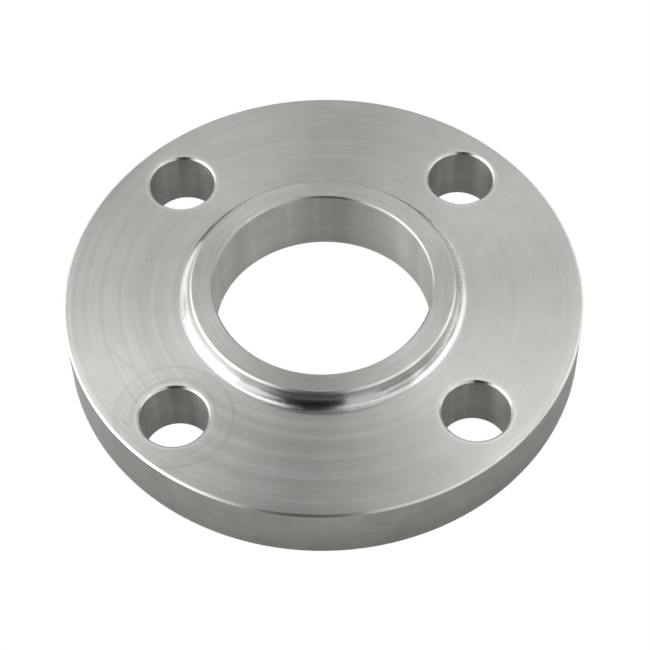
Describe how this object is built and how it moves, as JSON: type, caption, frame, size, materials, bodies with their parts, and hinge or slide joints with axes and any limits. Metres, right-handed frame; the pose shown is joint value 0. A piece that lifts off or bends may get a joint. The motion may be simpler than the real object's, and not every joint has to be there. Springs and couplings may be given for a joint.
{
  "type": "lap joint flange",
  "caption": "Flat round backing flange in turned stainless steel, with a short filleted hub, a plain central bore and a circle of drilled bolt holes.",
  "frame": {"origin": "centre of the flat lower face, on the axis of the bore", "axes": "+Z along the bore from the lower face towards the hub; +X and +Y along the centre lines, midway between bolt holes"},
  "size_m": [0.1524, 0.1524, 0.0242],
  "materials": {
    "stainless_steel": "turned on a lathe, with fine concentric marks, and polished at the root of the hub"
  },
  "bodies": {
    "root": {"lap_joint_flange": "stainless_steel"}
  },
  "joints": []
}
